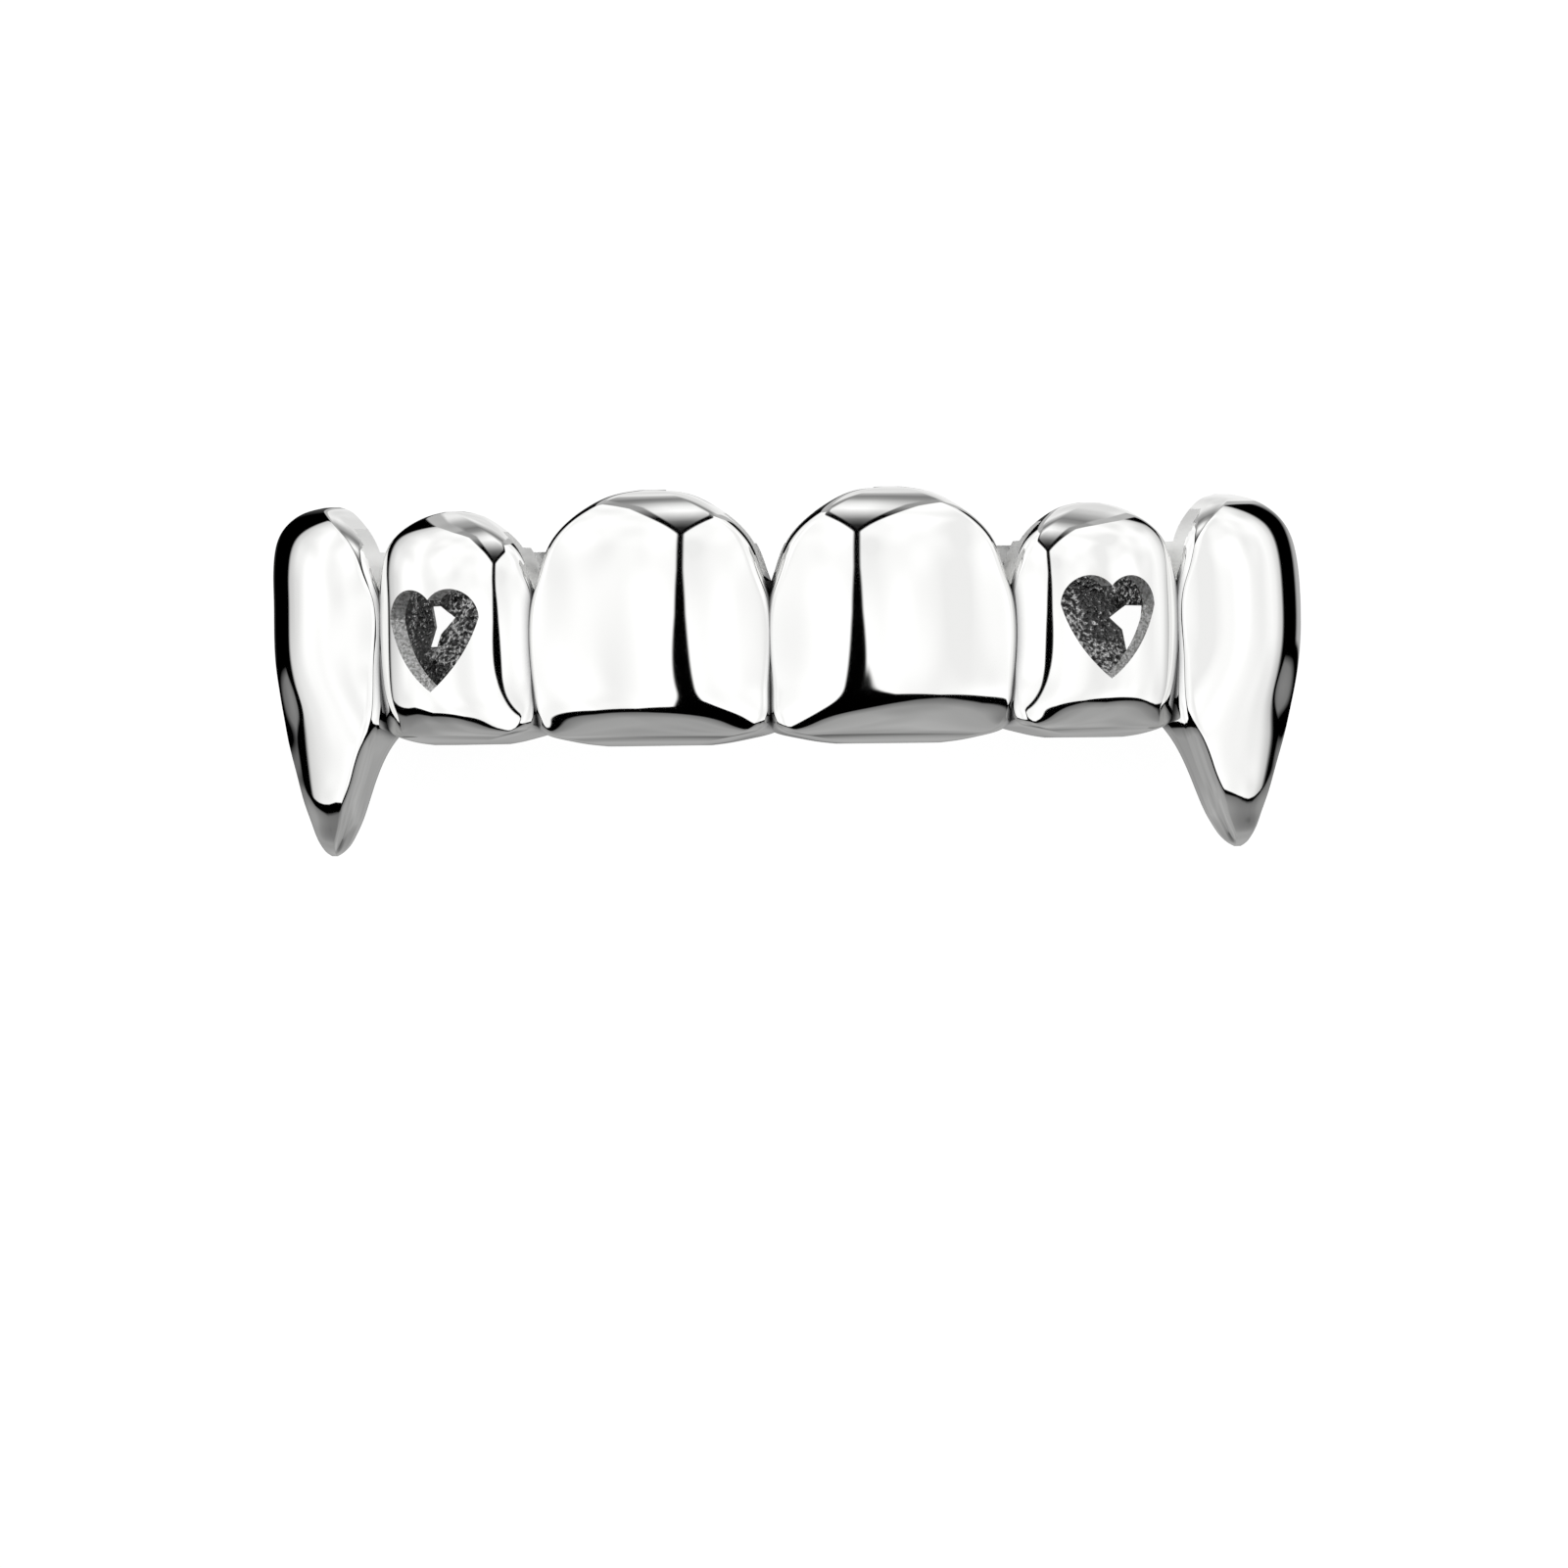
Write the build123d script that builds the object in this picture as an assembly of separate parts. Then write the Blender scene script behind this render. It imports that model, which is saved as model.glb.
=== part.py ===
from build123d import *
import os
from math import asin, cos, radians, sin, sqrt

# A six-tooth snap-on cover for the upper front teeth, cast in one piece. It lies on its back: +X runs
# along the row of teeth, +Y towards the gums and +Z out of the mouth. While it is built, heights along
# Y start at the biting edge of the two middle teeth, and the middle contact is at X 0 and Z 0. All
# lengths are in millimetres.

# One row for each tooth of one side, from the middle outwards.
# width: from contact to contact; turn: about Y, in degrees; foot and top: lowest and highest point;
# edge: height of the rounded foot; arch: height of the rounded top; crown: the face stands this far in
# front of the contacts; bow: radius of the face across the tooth; depth: from the contacts to the back;
# lean: how far the top of the arch stands towards the end of the row; slant: how far the middle of a
# long foot stands towards the end; twist: turn of the foot towards the end, in degrees
TEETH = {
    "central": dict(
        width=9.47, turn=8.0, foot=0.0, top=10.1, edge=2.2, arch=4.4, crown=1.75, bow=10.0, depth=6.6, lean=0.0, slant=0.0, twist=4.5
    ),
    "lateral": dict(
        width=7.24, turn=27.0, foot=0.15, top=9.4, edge=2.2, arch=3.4, crown=1.7, bow=5.15, depth=6.2, lean=0.15, slant=0.0, twist=4.5
    ),
    "canine": dict(
        width=7.6, turn=52.0, foot=-4.27, top=9.83, edge=8.0, arch=3.8, crown=1.8, bow=6.0, depth=5.2, lean=0.05, slant=-0.65, twist=0.0
    ),
}

wall = 0.9  # faces, floor and end walls
plate = 0.8  # back plate
overlap = 0.12  # each tooth is this much wider than its contacts on each side, so that neighbours fuse
side_round = 0.7  # corner between a face and its sides
heel_round = 0.9  # corner between the sides and the back
lip = 0.35  # the rolled gum edge ends this far behind the contacts
web = 0.95  # metal left behind the contacts, in front of the channel that joins the hollows
plate_top = 7.9  # upper edge of the back plate
fang_floor = 1.5  # the hollow of a canine ends here, and the fang below it is solid
fang_edge = 2.2  # height of the rounded foot of that hollow
channel_rise = 1.2  # the channel that joins the hollows starts this far above their floors
rest_depth = 12.0  # the ends of the row are trimmed flat this far behind the middle contact

notch_radius = 4.0  # dip in the back plate behind the two middle teeth
notch_low = 5.4  # its lowest point

heart_width = 4.1
heart_height = 4.05
heart_middle = 4.45  # height of its centre

clear = 2.0  # cutting bodies reach this far beyond what they cut

# Sections of a tooth, from its foot up. level: share of the edge height; half: share of the half width;
# front: share of the crown; back: share of the depth; twist and slant: shares of those; bow: times its bow
FOOT_SECTIONS = [
    dict(level=0.0, half=0.42, front=0.06, back=0.26, twist=1.0, bow=2.2),
    dict(level=0.12, half=0.75, front=0.47, back=0.37, twist=1.0, bow=1.8),
    dict(level=0.25, half=0.925, front=0.63, back=0.45, twist=0.95, bow=1.55),
    dict(level=0.45, half=0.985, front=0.77, back=0.54, twist=0.8, bow=1.25),
    dict(level=1.0, half=1.0, front=0.925, back=0.76, twist=0.2, bow=1.05),
]
FANG_SECTIONS = [
    dict(level=0.0, half=0.045, front=0.04, back=0.0),
    dict(level=0.015, half=0.077, front=0.13, back=0.02, slant=0.05),
    dict(level=0.05, half=0.14, front=0.25, back=0.05, slant=0.1),
    dict(level=0.1, half=0.225, front=0.345, back=0.06, slant=0.22),
    dict(level=0.1625, half=0.325, front=0.44, back=0.062, slant=0.46),
    dict(level=0.2625, half=0.445, front=0.585, back=0.065, slant=0.7),
    dict(level=0.4125, half=0.62, front=0.66, back=0.08, slant=0.9),
    dict(level=0.55, half=0.77, front=0.72, back=0.15, slant=1.0),
    dict(level=0.68, half=0.88, front=0.79, back=0.34, slant=0.85),
    dict(level=1.0, half=1.0, front=0.98, back=0.78),
]
# Sections of the rounded top. level: share of the arch height; lean: share of the lean of the arch
ARCH_SECTIONS = [
    dict(level=0.0, half=1.0, front=1.0, back=0.97),
    dict(level=0.25, half=0.925, front=0.985, back=1.0, lean=0.2),
    dict(level=0.5, half=0.842, front=0.93, back=1.0, lean=0.45),
    dict(level=0.7, half=0.697, front=0.82, back=1.0, lean=0.7),
    dict(level=0.85, half=0.515, front=0.64, back=1.0, lean=0.9),
    dict(level=0.95, half=0.335, front=0.4, back=1.0, lean=1.0),
    dict(level=1.0, half=0.12, front=0.0, back=1.0, lean=1.0),
]
# Half of a heart from its tip to its cleft, in shares of its width and height from its centre
HEART_POINTS = dict(tip=(0.0, -0.5), flank=(0.34, -0.14), side=(0.5, 0.22), lobe=(0.3, 0.49), cleft=(0.0, 0.4))
# Openings in the back plate behind the hearts. x, y: centre; corners: shares of width and height
WINDOWS = [
    dict(
        x=-13.9,
        y=5.0,
        width=1.1,
        height=1.7,
        corners=[(-0.5, 0.5), (-0.1, 0.5), (0.5, 0.2), (0.0, -0.2), (-0.1, -0.5), (-0.5, -0.5), (-0.3, 0.0)],
    ),
    dict(
        x=13.8,
        y=4.5,
        width=1.3,
        height=2.0,
        corners=[(-0.5, 0.25), (0.0, 0.5), (0.5, 0.5), (0.45, 0.05), (0.05, -0.5), (-0.1, 0.0)],
    ),
]


def outline(half, front, back, bow, height, middle, twist):
    """Closed section across a tooth: bowed face, rounded corners, straight sides and back."""
    thick = front - back
    corner = min(side_round, 0.8 * half, 0.45 * thick)
    heel = min(heel_round, 0.5 * half, 0.3 * thick)
    radius = max(bow, 1.3 * half, 2.2 * half**2 / thick)
    inner = half - corner
    corner_level = front - radius + sqrt((radius - corner) ** 2 - inner**2)
    tangent = asin(inner / (radius - corner))
    quarter = radians(90)
    turn = radians(twist)

    def at(x, z):
        return (middle + x * cos(turn) + z * sin(turn), height, z * cos(turn) - x * sin(turn))

    def on_corner(angle, side):
        return at(side * (inner + corner * sin(angle)), corner_level + corner * cos(angle))

    def on_heel(angle, side):
        return at(side * (half - heel + heel * sin(angle)), back + heel - heel * cos(angle))

    left, right = (
        [on_corner(angle, side) for angle in (tangent, (tangent + quarter) / 2, quarter)] for side in (-1, 1)
    )
    left_heel, right_heel = ([on_heel(angle, side) for angle in (quarter, quarter / 2, 0.0)] for side in (-1, 1))
    return Wire(
        [
            ThreePointArc(left[0], at(0.0, front), right[0]),
            ThreePointArc(*right),
            Line(right[2], right_heel[0]),
            ThreePointArc(*right_heel),
            Line(right_heel[2], left_heel[2]),
            ThreePointArc(*reversed(left_heel)),
            Line(left_heel[0], left[2]),
            ThreePointArc(*reversed(left)),
        ]
    )


def lofted(size, foot_sections, foot, edge, inset=0.0, back_inset=0.0):
    """Tooth lofted from its foot to its top, or the hollow in it, smaller by its walls."""
    half = size["width"] / 2 + overlap - inset
    springing = size["top"] - inset - size["arch"]
    wires = []
    for rows, start, height in ((foot_sections, foot, edge), (ARCH_SECTIONS, springing, size["arch"])):
        for row in rows:
            wires.append(
                outline(
                    half * row["half"],
                    size["crown"] * row["front"] - inset,
                    -size["depth"] * row["back"] + back_inset,
                    size["bow"] * row.get("bow", 1.0) - inset,
                    start + height * row["level"],
                    size["slant"] * row.get("slant", 0.0) + size["lean"] * row.get("lean", 0.0),
                    size["twist"] * row.get("twist", 0.0),
                )
            )
    return Solid.make_loft(wires)


def tooth(name):
    """Outside of one tooth, in its own frame: X along its contacts, Z out of its face."""
    size = TEETH[name]
    rows = FANG_SECTIONS if name == "canine" else FOOT_SECTIONS
    return lofted(size, rows, size["foot"], size["edge"])


def hollow_floor(name):
    """Height at which the hollow of a tooth ends."""
    return fang_floor if name == "canine" else TEETH[name]["foot"] + wall


def hollow(name):
    """Inside of one tooth, smaller by the walls all round."""
    size = TEETH[name]
    edge = fang_edge if name == "canine" else size["edge"]
    return lofted(size, FOOT_SECTIONS, hollow_floor(name), edge, wall, plate)


def prism(corners, start, length):
    """Corners given as (height, depth), pulled across a tooth from start."""
    points = [(start, height, depth) for height, depth in corners]
    return Solid.extrude(Face(Wire.make_polygon(points)), Vector(length, 0, 0))


def channel(name):
    """Slot along the row that joins the hollows, open towards the gums."""
    size = TEETH[name]
    low = hollow_floor(name) + channel_rise
    springing = size["top"] - size["arch"]
    high = size["top"] + clear
    back = plate - size["depth"]
    corners = [(low, -web), (low, back * 0.55), (springing, back), (high, back), (high, -web)]
    end = size["width"] / 2 - (wall if name == "canine" else 0.0)
    return prism(corners, -size["width"] / 2, end + size["width"] / 2)


def mouth(name):
    """What is open above the back plate, behind the rolled gum edge."""
    size = TEETH[name]
    high = size["top"] + clear
    far = -size["depth"] - clear
    end = size["width"] / 2 + (clear if name == "canine" else 0.0)
    corners = [(plate_top, -lip), (plate_top, far), (high, far), (high, -lip)]
    return prism(corners, -size["width"] / 2, end + size["width"] / 2)


def notch():
    """Half of the round dip in the back plate, in the frame of a central."""
    size = TEETH["central"]
    length = size["depth"] + clear - web
    middle = (-size["width"] / 2, notch_low + notch_radius, -web - length / 2)
    return Pos(*middle) * Cylinder(notch_radius, length)


def heart():
    """Heart cut through the face of a lateral, square to it, in the frame of the tooth."""
    size = TEETH["lateral"]
    lead = size["width"] / 2 + overlap

    def points(side):
        return [
            (side * heart_width * x, heart_middle + heart_height * y, -lip) for x, y in HEART_POINTS.values()
        ]

    right, left = points(1), points(-1)
    face = Face(
        Wire(
            [
                ThreePointArc(right[0], right[1], right[2]),
                ThreePointArc(right[2], right[3], right[4]),
                ThreePointArc(left[4], left[3], left[2]),
                ThreePointArc(left[2], left[1], left[0]),
            ]
        )
    )
    return Solid.extrude(face, Vector(0, 0, lip + size["crown"] + lead))


def window(row):
    """Opening through the back plate, seen through a heart."""
    deep = -rest_depth - clear
    points = [(row["x"] + row["width"] * x, row["y"] + row["height"] * y, deep) for x, y in row["corners"]]
    through = rest_depth + clear - TEETH["lateral"]["depth"]
    return Solid.extrude(Face(Wire.make_polygon(points)), Vector(0, 0, through))


def seats():
    """Where each tooth of the right side sits: the middle of its contact line, and its turn."""
    x, z = 0.0, 0.0
    placed = {}
    for name, size in TEETH.items():
        turn = radians(size["turn"])
        along, down = size["width"] / 2 * cos(turn), size["width"] / 2 * sin(turn)
        placed[name] = Location((x + along, 0, z - down), (0, size["turn"], 0))
        x, z = x + 2 * along, z - 2 * down
    return placed


def above(depth):
    """Everything in front of depth."""
    span = 2 * sum(size["width"] for size in TEETH.values())
    return Pos(0, 0, depth + span / 2) * Box(2 * span, 2 * span, span)


def right_half():
    """The right half of the cover, hollowed, pierced and cut flat at its end."""
    seat = seats()
    span = sum(size["width"] for size in TEETH.values())
    central, lateral, canine = (seat[name] * tooth(name) for name in TEETH)
    behind = Pos(0, 0, -rest_depth - span / 2) * Box(4 * span, 4 * span, span)
    left_side = Pos(-span / 2, 0, 0) * Box(span, 4 * span, 4 * span)
    outside = central.fuse(lateral).fuse(canine).cut(behind, left_side)
    inside = [seat[name] * hollow(name) for name in TEETH] + [seat[name] * channel(name) for name in TEETH]
    end_room = above(wall - rest_depth)
    cuts = [body & end_room for body in inside]
    cuts += [seat[name] * mouth(name) for name in TEETH]
    cuts += [seat["central"] * notch(), seat["lateral"] * heart()]
    return outside.cut(*cuts)


def tooth_cover():
    """Both halves and the two windows, moved so that the cover rests at Z 0 with its centre over the origin."""
    half = right_half()
    cover = half.fuse(mirror(half, about=Plane.YZ)).clean()
    cover = cover.cut(*[window(row) for row in WINDOWS])
    high = max(size["top"] for size in TEETH.values())
    low = min(size["foot"] for size in TEETH.values())
    return Pos(0, -(high + low) / 2, rest_depth) * cover


os.makedirs("parts", exist_ok=True)
export_step(tooth_cover(), "parts/tooth_cover.step")
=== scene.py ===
import math

import bmesh
import bpy
import numpy as np
from mathutils import Matrix, Vector


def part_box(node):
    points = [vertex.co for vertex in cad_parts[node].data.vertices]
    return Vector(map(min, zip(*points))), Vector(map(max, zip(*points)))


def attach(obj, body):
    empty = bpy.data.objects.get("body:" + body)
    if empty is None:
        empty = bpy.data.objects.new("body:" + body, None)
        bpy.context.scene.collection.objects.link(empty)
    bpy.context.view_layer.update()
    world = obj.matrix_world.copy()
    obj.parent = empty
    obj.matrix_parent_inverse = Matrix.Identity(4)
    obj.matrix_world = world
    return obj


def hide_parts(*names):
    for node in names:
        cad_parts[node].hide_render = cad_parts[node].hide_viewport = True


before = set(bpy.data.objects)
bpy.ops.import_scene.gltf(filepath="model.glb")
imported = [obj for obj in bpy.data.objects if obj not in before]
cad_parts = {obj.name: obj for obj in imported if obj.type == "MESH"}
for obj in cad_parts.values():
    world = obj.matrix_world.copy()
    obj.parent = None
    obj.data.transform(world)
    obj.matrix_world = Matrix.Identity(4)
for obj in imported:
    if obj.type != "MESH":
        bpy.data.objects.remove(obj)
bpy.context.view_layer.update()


# ---- The six caps ----------------------------------------------------------------------------------
# Each cap is carved in wax on a model of one upper front tooth, and the six are cast in one piece of
# brass. Lengths are in millimetres: heights run up from the biting edge, depths back from the contact
# between two neighbours. One row for each tooth of one side, from the middle outwards.
CAPS = {
    "central": dict(
        width=9.47, turn=8.0, foot=0.0, top=10.05, edge=2.2, arch=4.4, crown=1.75, bow=10.0, depth=6.6,
        lean=(0.0, 0.0), slant=0.0, twist=4.5, dome=1.0,
    ),
    "lateral": dict(
        width=7.24, turn=27.0, foot=0.15, top=9.4, edge=2.2, arch=3.4, crown=1.7, bow=5.15, depth=6.2,
        lean=(0.0, 0.3), slant=0.0, twist=6.0, dome=1.8,
    ),
    "canine": dict(
        width=7.6, turn=52.0, foot=-4.27, top=9.83, edge=8.0, arch=3.8, crown=1.8, bow=6.0, depth=5.2,
        lean=(-0.3, 0.4), slant=-0.65, twist=0.0, dome=1.2,
    ),
}
# turn and twist are in degrees. lean shifts the top sideways, on the right and on the left, and slant
# shifts the foot. A higher dome lets the face fall back sooner towards the top.
FEET = {
    # Sections from the foot up: shares of the edge height, half width, crown, depth, slant, twist and bow
    "blunt": [
        (0.0, 0.42, 0.06, 0.26, 0.0, 1.0, 2.2),
        (0.04, 0.57, 0.26, 0.3, 0.0, 1.0, 2.0),
        (0.12, 0.75, 0.47, 0.37, 0.0, 1.0, 1.8),
        (0.25, 0.925, 0.63, 0.45, 0.0, 0.95, 1.55),
        (0.45, 0.985, 0.77, 0.54, 0.0, 0.8, 1.25),
        (1.0, 1.0, 0.925, 0.76, 0.0, 0.2, 1.05),
    ],
    "fang": [
        (0.0, 0.045, 0.04, 0.0, 0.0, 0.0, 1.0),
        (0.015, 0.105, 0.13, 0.02, 0.07, 0.0, 1.0),
        (0.05, 0.185, 0.25, 0.05, 0.2, 0.0, 1.0),
        (0.1, 0.27, 0.345, 0.06, 0.36, 0.0, 1.0),
        (0.1625, 0.355, 0.44, 0.062, 0.6, 0.0, 1.0),
        (0.2625, 0.47, 0.585, 0.065, 0.82, 0.0, 1.0),
        (0.4125, 0.63, 0.66, 0.08, 0.95, 0.0, 1.0),
        (0.55, 0.77, 0.72, 0.15, 1.0, 0.0, 1.0),
        (0.68, 0.88, 0.79, 0.34, 0.85, 0.0, 1.0),
        (1.0, 1.0, 0.98, 0.78, 0.0, 0.0, 1.0),
    ],
}
# and through the rounded top: shares of the arch height, half width, crown, depth, lean, twist and bow
ROUND_TOP = [
    (0.0, 1.0, 1.0, 0.97, 0.0, 0.0, 1.0),
    (0.25, 0.925, 0.985, 1.0, 0.2, 0.0, 1.0),
    (0.5, 0.842, 0.93, 1.0, 0.45, 0.0, 1.0),
    (0.7, 0.697, 0.82, 1.0, 0.7, 0.0, 1.0),
    (0.85, 0.515, 0.64, 1.0, 0.9, 0.0, 1.0),
    (0.95, 0.335, 0.4, 1.0, 1.0, 0.0, 1.0),
    (1.0, 0.12, 0.0, 1.0, 1.0, 0.0, 1.0),
]
overlap = 0.12
side_round = 0.7
heel_round = 0.9
trim_depth = 12.0
row_spacing = 0.16
room_aside, room_ahead = 40.0, 20.0


def linear(code):
    """An sRGB hex colour as linear values, with alpha."""
    parts = (int(code[i : i + 2], 16) / 255 for i in (1, 3, 5))
    return tuple(c / 12.92 if c <= 0.04045 else ((c + 0.055) / 1.055) ** 2.4 for c in parts) + (1.0,)


def add(tree, kind, inputs=None, stops=(), span=(0.0, 1.0), **settings):
    """Adds one node with its own settings. Inputs are numbers, colours, or nodes and sockets to link. A ramp
    gets stops, as places along span with a colour or a grey level each."""
    made = tree.nodes.new(kind)
    for name, value in settings.items():
        setattr(made, name, value)
    for name, value in (inputs or {}).items():
        if isinstance(value, bpy.types.Node):
            value = value.outputs[0]
        if isinstance(value, bpy.types.NodeSocket):
            tree.links.new(value, made.inputs[name])
        else:
            made.inputs[name].default_value = value
    for i, (at, shade) in enumerate(stops):
        element = made.color_ramp.elements[i] if i < 2 else made.color_ramp.elements.new(1.0)
        element.position = (at - span[0]) / (span[1] - span[0])
        element.color = shade if hasattr(shade, "__len__") else (shade, shade, shade, 1.0)
    return made


def new_material(name):
    """An empty node material and its tree."""
    material = bpy.data.materials.new(name)
    material.use_nodes = True
    material.node_tree.nodes.clear()
    return material, material.node_tree


# Polished plated brass: a bright, faintly warm white mirror, with the slight waves of hand polishing,
# about 3 mm long
per_mm = 1000.0
plated, tree = new_material("polished_plated_brass")
place = add(tree, "ShaderNodeTexCoord").outputs["Object"]
waves = add(tree, "ShaderNodeTexNoise", {"Vector": place, "Scale": 0.32 * per_mm, "Detail": 1.0})
finish = add(tree, "ShaderNodeMapRange", {"Value": waves, "To Min": 0.02, "To Max": 0.05})
bump = add(tree, "ShaderNodeBump", {"Height": waves, "Strength": 0.02, "Distance": 0.0002})
# Painted shade: the colour greys within half a millimetre of a groove, where the caps would shade each other
painted_groove_shade = add(tree, "ShaderNodeAmbientOcclusion", {"Distance": 0.0005}, samples=12, only_local=True)
# The base colour follows the occlusion, so the shade in the grooves is painted
shade = add(
    tree,
    "ShaderNodeValToRGB",
    {"Fac": painted_groove_shade.outputs["AO"]},
    stops=[(0.3, linear("#4A4A4A")), (0.55, linear("#8C8C8C")), (0.8, linear("#DADADA")), (0.95, linear("#F2F2F1"))],
)
shader = add(
    tree,
    "ShaderNodeBsdfPrincipled",
    {"Base Color": shade, "Metallic": 1.0, "Roughness": finish, "Normal": bump},
)
add(tree, "ShaderNodeOutputMaterial", {"Surface": shader})


def cap_section(half, front, back, bow, height, middle, twist, fineness):
    """Points round one closed section: bowed face, rounded corners, straight sides and back. The roundings
    shrink and the bow flattens where a narrow section has no room for them."""
    thick = front - back
    corner = min(side_round, 0.8 * half, 0.45 * thick)
    heel = min(heel_round, 0.5 * half, 0.3 * thick)
    radius = max(bow, 1.3 * half, 2.2 * half**2 / thick)
    inner = half - corner
    corner_level = front - radius + math.sqrt((radius - corner) ** 2 - inner**2)
    tangent = math.asin(inner / (radius - corner))
    face_steps, corner_steps, side_steps, heel_steps, back_steps = (
        max(2, round(n * fineness)) for n in (66, 16, 9, 5, 15)
    )

    def turned(centre, size, start, end, steps):
        angle = np.linspace(start, end, steps, endpoint=False)
        return np.stack([centre[0] + size * np.sin(angle), centre[1] + size * np.cos(angle)], axis=1)

    def straight(start, end, steps):
        share = np.linspace(0.0, 1.0, steps, endpoint=False)[:, None]
        return np.array(start) * (1 - share) + np.array(end) * share

    right_side = np.concatenate(
        [
            turned((inner, corner_level), corner, tangent, math.pi / 2, corner_steps),
            straight((half, corner_level), (half, back + heel), side_steps),
            turned((half - heel, back + heel), heel, math.pi / 2, math.pi, heel_steps),
            [(half - heel, back)],
        ]
    )
    left_side = (right_side * (-1, 1))[::-1]
    around = np.concatenate(
        [
            turned((0.0, front - radius), radius, -tangent, tangent, face_steps),
            right_side,
            straight((half - heel, back), (heel - half, back), back_steps)[1:],
            left_side[:-1],
        ]
    )
    turn = math.radians(twist)
    x = middle + around[:, 0] * math.cos(turn) + around[:, 1] * math.sin(turn)
    z = around[:, 1] * math.cos(turn) - around[:, 0] * math.sin(turn)
    return np.stack([x, np.full(len(around), height), z], axis=1)


def flowing_rows(sections, spacing):
    """Rows of points between the sections, on one natural cubic curve through each point of them."""
    sections = np.array(sections)
    steps = np.linalg.norm(np.diff(sections, axis=0), axis=2).max(axis=1)
    last = len(steps)
    system, right = np.eye(last + 1), np.zeros((last + 1,) + sections.shape[1:])
    for i in range(1, last):
        system[i, i - 1 : i + 2] = steps[i - 1], 2 * (steps[i - 1] + steps[i]), steps[i]
        right[i] = 6 * ((sections[i + 1] - sections[i]) / steps[i] - (sections[i] - sections[i - 1]) / steps[i - 1])
    bend = np.linalg.solve(system, right.reshape(last + 1, -1)).reshape(right.shape)
    rows = []
    for i in range(last):
        count = max(2, math.ceil(steps[i] / spacing))
        for share in np.arange(count) / count:
            a, b = 1 - share, share
            rows.append(
                a * sections[i]
                + b * sections[i + 1]
                + ((a**3 - a) * bend[i] + (b**3 - b) * bend[i + 1]) * steps[i] ** 2 / 6
            )
    return np.array(rows + [sections[-1]])


def closed_body(name, rows, material, seat=None):
    """A closed body whose skin runs through the rows, moved to its seat where it has one."""
    around, count = rows.shape[1], len(rows)
    made = bmesh.new()
    points = [made.verts.new(p) for p in rows.reshape(-1, 3)]
    for i in range(count - 1):
        for j in range(around):
            k = (j + 1) % around
            made.faces.new([points[i * around + n] for n in (j, k)] + [points[(i + 1) * around + n] for n in (k, j)])
    made.faces.new(reversed(points[:around]))
    made.faces.new(points[-around:])
    if seat is not None:
        made.transform(seat)
    bmesh.ops.recalc_face_normals(made, faces=made.faces[:])
    mesh = bpy.data.meshes.new(name)
    made.to_mesh(mesh)
    made.free()
    mesh.materials.append(material)
    body = bpy.data.objects.new(name, mesh)
    bpy.context.scene.collection.objects.link(body)
    return body


def lofted(name, side, foot_rows, foot, edge, inset, back_inset, fineness, spacing, material):
    """One tooth form from its foot to its top. The hollow in it is smaller by the walls."""
    size = CAPS[name]
    half = size["width"] / 2 + overlap - inset
    springing = size["top"] - inset - size["arch"]
    parts = (
        (foot_rows, foot, edge, size["slant"], 1.0),
        (ROUND_TOP, springing, size["arch"], size["lean"][side], size["dome"]),
    )
    sections = [
        cap_section(
            half * width,
            size["crown"] * front**dome - inset,
            -size["depth"] * back + back_inset,
            size["bow"] * bow - inset,
            start + height * level,
            shift * aside,
            size["twist"] * twist,
            fineness,
        )
        for table, start, height, shift, dome in parts
        for level, width, front, back, aside, twist, bow in table
    ]
    return closed_body(name, flowing_rows(sections, spacing), material, seats[name][side])


# Where each tooth sits, on the right side of the row and, mirrored, on the left
seats = {}
along, down = 0.0, 0.0
for name, size in CAPS.items():
    turn = math.radians(size["turn"])
    step_x, step_z = size["width"] * math.cos(turn), size["width"] * math.sin(turn)
    seat = Matrix.Translation((along + step_x / 2, 0.0, down - step_z / 2)) @ Matrix.Rotation(turn, 4, "Y")
    seats[name] = (seat, Matrix.Scale(-1.0, 4, (1.0, 0.0, 0.0)) @ seat)
    along, down = along + step_x, down - step_z


def worked(body, operation, *tools):
    """The body after tools are joined to it or cut from it. The tools are used up."""
    for tool in tools:
        step = body.modifiers.new("work", "BOOLEAN")
        step.operation, step.solver, step.object = operation, "MANIFOLD", tool
        step.material_mode = "TRANSFER"
        bpy.context.view_layer.update()
        mesh = bpy.data.meshes.new_from_object(body.evaluated_get(bpy.context.evaluated_depsgraph_get()))
        body.modifiers.clear()
        old, body.data = body.data, mesh
        bpy.data.meshes.remove(old)
        bpy.data.objects.remove(tool)
    return body


def block_from(name, depth, material):
    """A block larger than the whole row, from one depth forwards."""
    corners = np.array([(x * room_aside, y * room_ahead, depth) for x, y in ((-1, -1), (1, -1), (1, 1), (-1, 1))])
    return closed_body(name, np.array([corners, corners + (0.0, 0.0, room_ahead - depth)]), material)


cover, *others = (
    lofted(
        name, side, FEET["fang" if name == "canine" else "blunt"], size["foot"], size["edge"],
        0.0, 0.0, 1.0, row_spacing, plated,
    )
    for name, size in CAPS.items()
    for side in (0, 1)
)
worked(cover, "UNION", *others)
worked(cover, "INTERSECT", block_from("ends", -trim_depth, plated))


# ---- The hollow inside -----------------------------------------------------------------------------
# The wax is hollowed for the teeth before it is cast, so the walls are even and the inside keeps the
# rough skin of the casting. The caps open into each other and towards the gums, behind a rolled edge.
wall = 0.9
plate = 0.8
lip = 0.35
web = 0.95
plate_top = 7.9
fang_floor = 1.5
fang_edge = 2.2
channel_rise = 1.2
channel_foot_share = 0.55
notch_radius = 4.0
notch_low = 5.4
notch_steps = 96
clear = 2.0
# The rough inside needs fewer points than the mirror outside
hollow_fineness = 0.45
hollow_spacing = 0.3
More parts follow.
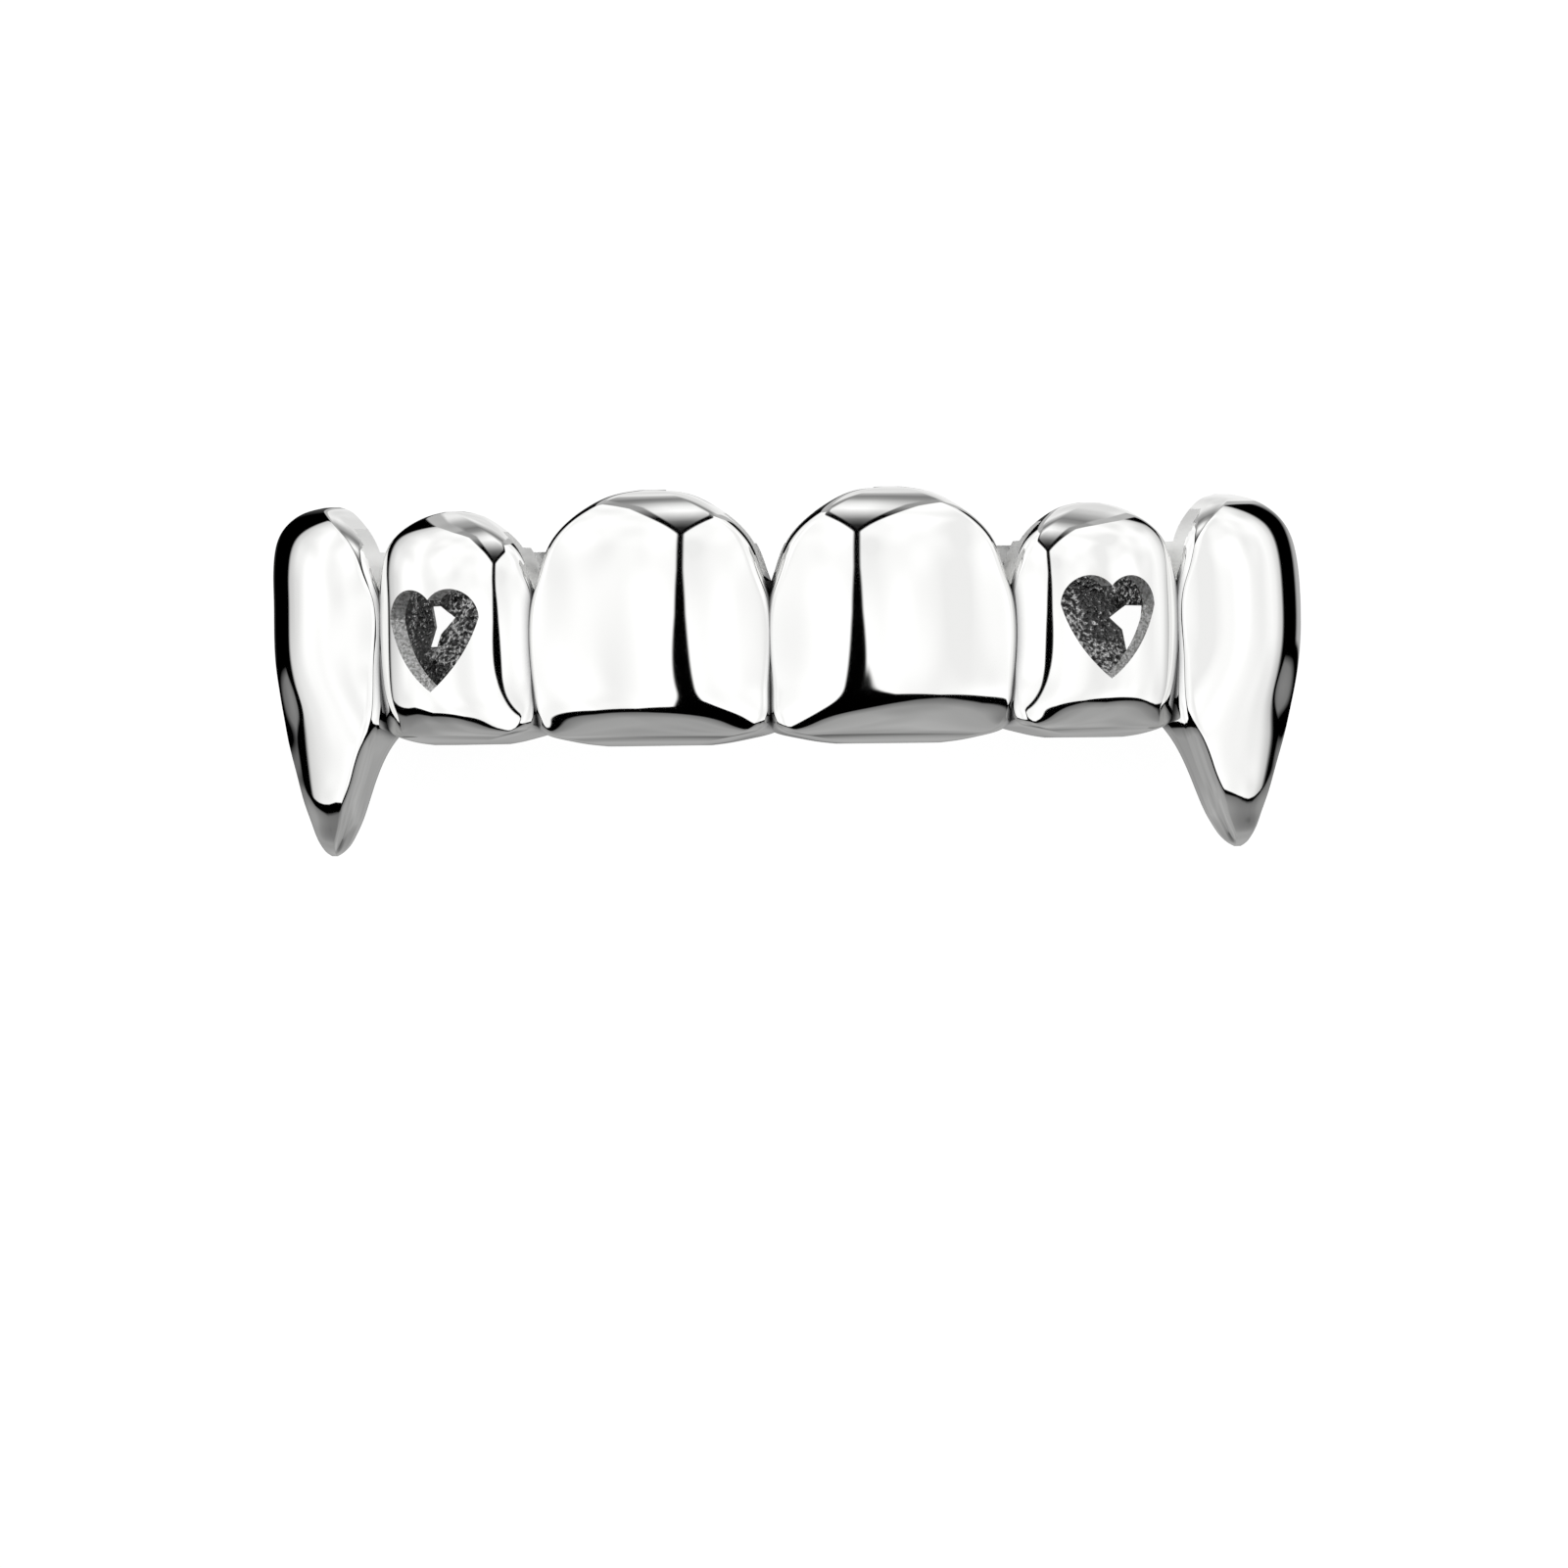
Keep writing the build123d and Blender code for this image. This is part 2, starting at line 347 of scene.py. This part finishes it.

# Brass as it leaves the plaster mould: grains about 0.17 mm across in a grey tone of their own, with
# the brightest painted white as glints, more or fewer of them in patches 2 mm wide. The real ones are finer and
# wouldn't show.
cast, tree = new_material("rough_cast_brass")
place = add(tree, "ShaderNodeTexCoord").outputs["Object"]
grit = add(tree, "ShaderNodeTexNoise", {"Vector": place, "Scale": 6.0 * per_mm, "Detail": 3.0})
# Painted glints: both ramps turn the highest grains white, one more often than the other
many_painted_glints = add(
    tree,
    "ShaderNodeValToRGB",
    {"Fac": grit},
    stops=[(0.42, linear("#4A4A4A")), (0.52, linear("#B0B0AE")), (0.58, linear("#FFFFFF"))],
)
few_painted_glints = add(
    tree,
    "ShaderNodeValToRGB",
    {"Fac": grit},
    stops=[(0.35, linear("#505050")), (0.6, linear("#7C7C7B")), (0.66, linear("#FFFFFF"))],
)
patches = add(tree, "ShaderNodeTexNoise", {"Vector": place, "Scale": 0.45 * per_mm, "Detail": 0.0})
patches = add(tree, "ShaderNodeMapRange", {"Value": patches, "From Min": 0.46, "From Max": 0.52})
shade = add(tree, "ShaderNodeMix", {"Factor": patches, "A": few_painted_glints, "B": many_painted_glints})
bump = add(tree, "ShaderNodeBump", {"Height": grit, "Strength": 1.0, "Distance": 0.0002})
skin = add(
    tree,
    "ShaderNodeBsdfPrincipled",
    {"Base Color": shade, "Metallic": 1.0, "Roughness": 0.24, "Normal": bump},
)
# A small felt wheel reaches in from the gum edge, down to about this height in metres, and leaves a
# satin white
felt_from, felt_full = 0.0041, 0.0044
felt = add(
    tree, "ShaderNodeBsdfPrincipled", {"Base Color": linear("#F8F8F7"), "Metallic": 1.0, "Roughness": 0.5}
)
height = add(tree, "ShaderNodeSeparateXYZ", {"Vector": place}).outputs["Y"]
height = add(tree, "ShaderNodeMath", {0: patches, 1: 0.0001, 2: height}, operation="MULTIPLY_ADD")
felted = add(tree, "ShaderNodeMapRange", {"Value": height, "From Min": felt_from, "From Max": felt_full})
shader = add(tree, "ShaderNodeMixShader", {0: felted, 1: skin, 2: felt})
add(tree, "ShaderNodeOutputMaterial", {"Surface": shader})


def prism(name, seat, corners, start, length, material):
    """Corners given as (height, depth), pulled across a tooth from start."""
    row = np.array([(start, height, depth) for height, depth in corners])
    return closed_body(name, np.array([row, row + (length, 0.0, 0.0)]), material, seat)


inside, mouths = [], []
for name, size in CAPS.items():
    last = name == "canine"
    foot = fang_floor if last else size["foot"] + wall
    edge = fang_edge if last else size["edge"]
    low, high = foot + channel_rise, size["top"] + clear
    springing, back = size["top"] - size["arch"], plate - size["depth"]
    slot_corners = [
        (low, -web), (low, back * channel_foot_share), (springing, back), (high, back), (high, -web),
    ]
    across = size["width"] - (wall if last else 0.0)
    far = -size["depth"] - clear
    mouth_corners = [(plate_top, -lip), (plate_top, far), (high, far), (high, -lip)]
    beyond = size["width"] + (clear if last else 0.0)
    for side, seat in enumerate(seats[name]):
        inside.append(
            lofted(name, side, FEET["blunt"], foot, edge, wall, plate, hollow_fineness, hollow_spacing, cast)
        )
        inside.append(prism("channel", seat, slot_corners, -size["width"] / 2, across, cast))
        mouths.append(prism("mouth", seat, mouth_corners, -size["width"] / 2, beyond, plated))

hollow = worked(inside[0], "UNION", *inside[1:])
worked(hollow, "INTERSECT", block_from("end_walls", wall - trim_depth, cast))

# The dip in the middle of the back plate
size = CAPS["central"]
angle = np.linspace(0.0, 2 * math.pi, notch_steps, endpoint=False)
middle_x, middle_y = -size["width"] / 2, notch_low + notch_radius
ring = np.stack(
    [middle_x + notch_radius * np.cos(angle), middle_y + notch_radius * np.sin(angle), angle * 0 - web], axis=1
)
rows = np.array([ring, ring - (0.0, 0.0, size["depth"] + clear - web)])
notches = [closed_body("notch", rows, plated, seat) for seat in seats["central"]]
worked(cover, "DIFFERENCE", hollow, *mouths, *notches)


# ---- The hearts ------------------------------------------------------------------------------------
# A heart is sawn through the face of each lateral cap, square to it, and its edge is left from the saw.
# Behind it small odd openings in the back plate let the light through.
heart_width = 4.1
heart_height = 4.05
heart_middle = 4.45
flank_steps, lobe_steps = 26, 30
saw_reach = 5.0
# Points on one half of the heart, as shares of its width and height
HEART = dict(tip=(0.0, -0.5), flank=(0.34, -0.14), side=(0.5, 0.22), lobe=(0.3, 0.49), cleft=(0.0, 0.4))
# Each was sawn by eye: how wide it is, and how far out and up it sits, on the right and on the left
HEART_SHIFTS = [(1.0, 0.0, 0.0), (1.07, 0.33, -0.2)]
# The openings behind them: middle, size, and corners as shares of that size
WINDOWS = [
    (
        (-13.9, 5.0),
        (1.1, 1.7),
        [(-0.5, 0.5), (-0.1, 0.5), (0.5, 0.2), (0.0, -0.2), (-0.1, -0.5), (-0.5, -0.5), (-0.3, 0.0)],
    ),
    (
        (13.8, 4.5),
        (1.3, 2.0),
        [(-0.5, 0.25), (0.0, 0.5), (0.5, 0.5), (0.45, 0.05), (0.05, -0.5), (-0.1, 0.0)],
    ),
]

# A sawn brass edge: fine strokes from the front of the cap to its back, pale and dull. They are drawn
# 0.1 mm apart and 0.7 mm long, because a jeweller's blade leaves finer ones that wouldn't show.
sawn, tree = new_material("sawn_brass_edge")
place = add(tree, "ShaderNodeTexCoord").outputs["Object"]
strokes = add(
    tree, "ShaderNodeMapping", {"Vector": place, "Scale": (9.0 * per_mm, 9.0 * per_mm, 1.5 * per_mm)}
)
strokes = add(tree, "ShaderNodeTexNoise", {"Vector": strokes, "Scale": 1.0, "Detail": 2.0})
shade = add(tree, "ShaderNodeValToRGB", {"Fac": strokes}, stops=[(0.35, linear("#B8B8B6")), (0.6, linear("#FFFFFF"))])
bump = add(tree, "ShaderNodeBump", {"Height": strokes, "Strength": 0.8, "Distance": 0.00008})
shader = add(
    tree,
    "ShaderNodeBsdfPrincipled",
    {"Base Color": shade, "Metallic": 1.0, "Roughness": 0.5, "Normal": bump},
)
add(tree, "ShaderNodeOutputMaterial", {"Surface": shader})


def arc_through(a, b, c, steps):
    """Points from a to c, without c, on the circle through a, b and c."""
    (ax, ay), (bx, by), (cx, cy) = a, b, c
    twice = 2 * (ax * (by - cy) + bx * (cy - ay) + cx * (ay - by))
    squares = [x * x + y * y for x, y in (a, b, c)]
    ox = (squares[0] * (by - cy) + squares[1] * (cy - ay) + squares[2] * (ay - by)) / twice
    oy = (squares[0] * (cx - bx) + squares[1] * (ax - cx) + squares[2] * (bx - ax)) / twice
    start, through, end = (math.atan2(y - oy, x - ox) for x, y in (a, b, c))
    turn = (end - start) % (2 * math.pi)
    if (through - start) % (2 * math.pi) > turn:
        turn -= 2 * math.pi
    radius = math.hypot(ax - ox, ay - oy)
    angles = start + turn * np.arange(steps) / steps
    return [(ox + radius * math.cos(t), oy + radius * math.sin(t)) for t in angles]


at = {name: (heart_width * x, heart_middle + heart_height * y) for name, (x, y) in HEART.items()}
right = arc_through(at["tip"], at["flank"], at["side"], flank_steps)
right += arc_through(at["side"], at["lobe"], at["cleft"], lobe_steps)
left = [(-x, y) for x, y in (right[1:] + [at["cleft"]])[::-1]]
ring = np.array([(x, y, -lip) for x, y in right + left])
for seat, (wide, aside, higher) in zip(seats["lateral"], HEART_SHIFTS):
    start = ring * (wide, 1.0, 1.0) + (aside, higher, 0.0)
    heart = closed_body("heart", np.array([start, start + (0.0, 0.0, saw_reach)]), sawn, seat)
    worked(cover, "DIFFERENCE", heart)

behind = -trim_depth - clear
through = trim_depth + clear - CAPS["lateral"]["depth"]
for (x, y), (width, height), corners in WINDOWS:
    row = np.array([(x + width * a, y + height * b, behind) for a, b in corners])
    worked(cover, "DIFFERENCE", closed_body("window", np.array([row, row + (0.0, 0.0, through)]), cast))


# ---- The finished cover ----------------------------------------------------------------------------
# The casting is polished, plated silver-white and laid on its back, on its trimmed ends. The wheel
# doesn't reach between two caps, behind their raised edges, where a small brush leaves satin.
middle_height = 2.915
crisp_edge = 30
# The brush's share of the flanks: height, depths and distances from a tooth's middle, in that tooth's
# own place, and how much a face there has to look sideways
brushed_above = 6.2
brushed_depths = (-4.5, 0.1)
brushed_aside = (2.0, 4.5)
flank_share = 0.6

shift = Vector((0.0, -middle_height, trim_depth))
cover.data.transform(Matrix.Scale(0.001, 4) @ Matrix.Translation(shift))
cover.name = cover.data.name = "grillz_cover"
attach(cover, "root")
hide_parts("tooth_cover")
cover.data.shade_smooth()
cover.data.set_sharp_from_angle(angle=math.radians(crisp_edge))

# Brushed plating: the same white metal with a dull, even sheen, in marks about 0.3 mm long
satin, tree = new_material("satin_plated_brass")
grain = add(tree, "ShaderNodeTexCoord").outputs["Object"]
grain = add(tree, "ShaderNodeTexNoise", {"Vector": grain, "Scale": 3.0 * per_mm})
finish = add(tree, "ShaderNodeMapRange", {"Value": grain, "To Min": 0.5, "To Max": 0.7})
shader = add(
    tree, "ShaderNodeBsdfPrincipled", {"Base Color": linear("#F8F8F7"), "Metallic": 1.0, "Roughness": finish}
)
add(tree, "ShaderNodeOutputMaterial", {"Surface": shader})
cover.data.materials.append(satin)
names = [material.name for material in cover.data.materials]
polished, brushed = names.index(plated.name), names.index(satin.name)
for seat in (seat for pair in seats.values() for seat in pair):
    inverse = seat.inverted()
    for face in cover.data.polygons:
        spot = inverse @ (face.center * 1000 - shift)
        if (
            face.material_index == polished
            and spot.y > brushed_above
            and brushed_depths[0] < spot.z < brushed_depths[1]
            and brushed_aside[0] < abs(spot.x) < brushed_aside[1]
            and abs((inverse.to_3x3() @ face.normal).x) > flank_share
        ):
            face.material_index = brushed

# The skin is kept within the CAD box, which it would leave by a hair
low, high = (np.array(corner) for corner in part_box("tooth_cover"))
points = np.array([point.co for point in cover.data.vertices])
start = points.min(axis=0)
room = np.minimum(1.0, (high - low) / (points.max(axis=0) - start))
points = np.clip((points - start) * room + np.maximum(start, low), low, high)
cover.data.vertices.foreach_set("co", points.ravel())


# ---- Floor, light and camera -----------------------------------------------------------------------
# A white table under a light tent, and a long lens over it, looking down at the row from the front.
# The tent's cloth is drawn in the world, where the polished metal mirrors it. Up is the gums' side.
axis_turn = math.radians(3.4)
in_degrees = 180 / math.pi
world = bpy.data.worlds.new("light_tent")
bpy.context.scene.world = world
world.use_nodes = True
tree = world.node_tree
tree.nodes.clear()
ray = add(tree, "ShaderNodeTexCoord").outputs["Generated"]
aimed = add(tree, "ShaderNodeVectorRotate", {"Vector": ray, "Angle": axis_turn}, rotation_type="Y_AXIS")
parts = add(tree, "ShaderNodeSeparateXYZ", {"Vector": aimed})
right, up, front = (parts.outputs[name] for name in "XYZ")
aside = add(tree, "ShaderNodeMath", {0: right}, operation="ABSOLUTE")
across = add(tree, "ShaderNodeMath", {0: right, 1: front}, operation="ARCTAN2")
across = add(tree, "ShaderNodeMath", {0: across, 1: in_degrees}, operation="MULTIPLY")
across_share = add(tree, "ShaderNodeMapRange", {"Value": across, "From Min": -180.0, "From Max": 180.0})
aside_angle = add(tree, "ShaderNodeMath", {0: across}, operation="ABSOLUTE")
rise = add(tree, "ShaderNodeMath", {0: up}, operation="ARCSINE")
rise = add(tree, "ShaderNodeMath", {0: rise, 1: in_degrees}, operation="MULTIPLY")
rise_share = add(tree, "ShaderNodeMapRange", {"Value": rise, "From Min": -90.0, "From Max": 90.0})

# Two white side sheets reach from the front round to the back. Beyond them it is dark, then pale again.
sheets = add(
    tree,
    "ShaderNodeValToRGB",
    {"Fac": across_share},
    stops=[
        (-180, 0.15), (-165, 0.05), (-150, 0.0), (-118, 0.0), (-115, 0.6), (-106, 0.85), (-92, 1.0), (104, 1.0),
        (116, 0.85), (124, 0.6), (127, 0.0), (152, 0.0), (158, 0.35), (168, 0.45), (180, 0.3),
    ],
    span=(-180, 180),
)

# The gap between the sheets, through which the camera looks: half its width, as a share of 20 degrees
gap_unit = 20.0
gap = add(
    tree,
    "ShaderNodeValToRGB",
    {"Fac": rise_share},
    stops=[(-90, 0.7), (-30, 0.55), (-20, 0.5), (-12, 0.36), (-6, 0.24), (0, 0.13), (8, 0.08), (90, 0.06)],
    span=(-90, 90),
)
gap = add(tree, "ShaderNodeMath", {0: gap, 1: gap_unit}, operation="MULTIPLY")
beside_gap = add(tree, "ShaderNodeMath", {0: aside_angle, 1: gap}, operation="SUBTRACT")
solid = add(
    tree,
    "ShaderNodeMapRange",
    {"Value": beside_gap, "From Min": -0.7, "From Max": 0.7},
    interpolation_type="SMOOTHSTEP",
)
tent = add(tree, "ShaderNodeMath", {0: sheets, 1: solid}, operation="MULTIPLY")

# The lid, a lit sheet overhead between the tops of the side sheets, with a dark slot on each side
front_share = add(tree, "ShaderNodeMapRange", {"Value": front, "From Min": -1.0, "From Max": 1.0})
brink = add(
    tree,
    "ShaderNodeValToRGB",
    {"Fac": front_share},
    stops=[(-1, 0.05), (-0.25, 0.13), (0.1, 0.25), (0.4, 0.41), (1, 0.41)],
    span=(-1, 1),
)
inward = add(tree, "ShaderNodeMath", {0: aside, 1: -1.7, 2: up}, operation="MULTIPLY_ADD")
inward = add(tree, "ShaderNodeMath", {0: inward, 1: brink}, operation="SUBTRACT")
slot = add(tree, "ShaderNodeMath", {0: aside, 1: 0.3, 2: inward}, operation="MULTIPLY_ADD")
slot = add(
    tree,
    "ShaderNodeMapRange",
    {"Value": slot, "From Min": -0.045, "From Max": -0.01},
    interpolation_type="SMOOTHSTEP",
)
lid_edge = add(
    tree,
    "ShaderNodeMapRange",
    {"Value": inward, "From Min": 0.01, "From Max": 0.06},
    interpolation_type="SMOOTHSTEP",
)
lid = add(
    tree,
    "ShaderNodeValToRGB",
    {"Fac": front_share},
    stops=[
        (-1, 0.8), (-0.45, 0.85), (-0.2, 0.45), (0.05, 0.25), (0.22, 0.4), (0.45, 0.95), (0.55, 1.0), (0.68, 0.55),
        (0.78, 0.18), (0.86, 0.02), (1, 0.0),
    ],
    span=(-1, 1),
)
# In front it dims away from the middle, and its far wings are lit more evenly
beyond = add(
    tree, "ShaderNodeMapRange", {"Value": aside, "From Min": 0.05, "From Max": 0.6, "To Min": 1.0, "To Max": 0.4}
)
facing = add(tree, "ShaderNodeMapRange", {"Value": front, "From Min": -0.1, "From Max": 0.2})
dimmed = add(tree, "ShaderNodeMix", {"Factor": facing, "A": 1.0, "B": beyond})
lid = add(tree, "ShaderNodeMath", {0: lid, 1: dimmed}, operation="MULTIPLY")
wing = add(tree, "ShaderNodeMapRange", {"Value": aside, "From Min": 0.3, "From Max": 0.45, "To Max": 0.65})
farther = add(tree, "ShaderNodeMapRange", {"Value": front, "From Min": 0.35, "From Max": 0.15})
wing = add(tree, "ShaderNodeMath", {0: wing, 1: farther}, operation="MULTIPLY")
lid = add(tree, "ShaderNodeMath", {0: lid, 1: wing}, operation="MAXIMUM")
# The slot is dark in front and grey towards the sides and the back
grey = add(tree, "ShaderNodeMapRange", {"Value": aside_angle, "From Min": 50.0, "From Max": 80.0, "To Max": 0.45})
inner = add(tree, "ShaderNodeMapRange", {"Value": front, "From Min": 0.7, "From Max": 0.45, "To Max": 0.3})
grey = add(tree, "ShaderNodeMath", {0: grey, 1: inner}, operation="MAXIMUM")
lid = add(tree, "ShaderNodeMix", {"Factor": lid_edge, "A": grey, "B": lid})
tent = add(tree, "ShaderNodeMix", {"Factor": slot, "A": tent, "B": lid})

# The sheets hang to a hem, lowest at the sides. Below it is dark down to the edge of the table. Both
# are degrees below the level, at each angle across.
right_angle = 90.0
hem = add(
    tree,
    "ShaderNodeValToRGB",
    {"Fac": across_share},
    stops=[
        (at, below / right_angle)
        for at, below in (
            (-180, 0), (-150, 0), (-130, 0), (-122, 3), (-116, 8), (-110, 12), (-104, 15), (-98, 17), (-90, 18),
            (-84, 21), (-75, 27), (-48, 30), (-27, 27), (-12, 20), (-3, 14), (0, 4), (6, 5), (20, 13), (40, 18),
            (62, 20), (80, 20), (92, 20), (100, 20.5), (107, 20.5), (113, 19.5), (119, 16), (124, 11), (127, 8),
            (132, 2), (150, 1), (180, 0),
        )
    ],
    span=(-180, 180),
)
table_edge = add(
    tree,
    "ShaderNodeValToRGB",
    {"Fac": across_share},
    stops=[
        (at, below / right_angle)
        for at, below in (
            (-180, 0), (-150, 1.5), (-128, 2.5), (-122, 6), (-117, 12), (-112, 16), (-106, 20), (-100, 22),
            (-92, 24), (-80, 30), (-50, 34), (-20, 31), (0, 27), (10, 25), (20, 22), (30, 20), (42, 20), (52, 23),
            (62, 25), (80, 23), (92, 22), (100, 21.5), (107, 21.5), (113, 20.5), (119, 18), (124, 13), (127, 9),
            (133, 3.8), (150, 2.5), (180, 1),
        )
    ],
    span=(-180, 180),
)
above_hem = add(tree, "ShaderNodeMath", {0: hem, 1: right_angle, 2: rise}, operation="MULTIPLY_ADD")
above_hem = add(
    tree,
    "ShaderNodeMapRange",
    {"Value": above_hem, "From Min": -0.5, "From Max": 0.5},
    interpolation_type="SMOOTHSTEP",
)
under = add(tree, "ShaderNodeMath", {0: table_edge, 1: right_angle, 2: rise}, operation="MULTIPLY_ADD")
table = add(
    tree,
    "ShaderNodeValToRGB",
    {"Fac": add(tree, "ShaderNodeMapRange", {"Value": under, "From Min": 0.0, "From Max": -right_angle})},
    stops=[(0, 0.0), (0.7, 0.0), (2.1, 0.17), (10, 0.32), (40, 0.4), (58, 0.3), (80, 0.14), (90, 0.1)],
    span=(0, 90),
)
tent = add(tree, "ShaderNodeMix", {"Factor": above_hem, "A": table, "B": tent})
# Soft folds in the cloth
cloth = add(tree, "ShaderNodeTexNoise", {"Vector": ray, "Scale": 2.2, "Detail": 1.0})
folds = add(
    tree, "ShaderNodeMapRange", {"Value": cloth, "From Min": 0.35, "From Max": 0.6, "To Min": 0.96, "To Max": 1.18}
)
tent = add(tree, "ShaderNodeMath", {0: tent, 1: folds}, operation="MULTIPLY")

# The camera itself sees plain white beyond the table
seen = add(tree, "ShaderNodeLightPath").outputs["Is Camera Ray"]
tent = add(tree, "ShaderNodeMix", {"Factor": seen, "A": tent, "B": 1.0})
light = add(tree, "ShaderNodeBackground", {"Color": tent, "Strength": 1.0})
add(tree, "ShaderNodeOutputWorld", {"Surface": light})

# White paper, lit from below as well, so that the cover throws only a faint shadow. Its fibres are
# drawn about 1 mm long.
paper, tree = new_material("white_paper")
fibres = add(tree, "ShaderNodeTexNoise", {"Scale": 0.9 * per_mm, "Detail": 2.0})
shade = add(
    tree, "ShaderNodeValToRGB", {"Fac": fibres}, stops=[(0.0, linear("#6C6C6C")), (1.0, linear("#747474"))]
)
matte = add(tree, "ShaderNodeBsdfDiffuse", {"Color": shade})
glow = add(tree, "ShaderNodeEmission", {"Color": (1.0, 1.0, 1.0, 1.0), "Strength": 0.93})
both = add(tree, "ShaderNodeAddShader", {0: matte, 1: glow})
add(tree, "ShaderNodeOutputMaterial", {"Surface": both})

half_table = 1.5
made = bmesh.new()
bmesh.ops.create_grid(made, x_segments=1, y_segments=1, size=half_table)
mesh = bpy.data.meshes.new("table")
made.to_mesh(mesh)
made.free()
floor = bpy.data.objects.new("table", mesh)
bpy.context.scene.collection.objects.link(floor)
floor.location.z = low[2]
floor.visible_glossy = False
floor.data.materials.append(paper)

# The camera looks down from a little to the right of the upright, and is turned a little in the picture
lens = bpy.data.cameras.new("long_lens")
camera = bpy.data.objects.new("long_lens", lens)
bpy.context.scene.collection.objects.link(camera)
bpy.context.scene.camera = camera
lens.sensor_width = 36.0
lens.lens = 157.2
lens.clip_start, lens.clip_end = 0.01, 10.0
distance = 0.268
roll = math.radians(0.68)
target = Vector((0.00046, -0.00448, 0.012))
backward = Vector((math.sin(axis_turn), 0.0, math.cos(axis_turn)))
side_on = Vector((math.cos(axis_turn), 0.0, -math.sin(axis_turn)))
upright = Vector((0.0, 1.0, 0.0))
image_x = math.cos(roll) * side_on - math.sin(roll) * upright
image_y = math.sin(roll) * side_on + math.cos(roll) * upright
turned = Matrix((image_x, image_y, backward)).transposed().to_4x4()
camera.matrix_world = Matrix.Translation(target + backward * distance) @ turned

scene = bpy.context.scene
scene.view_settings.view_transform = "Standard"
scene.view_settings.look = "None"
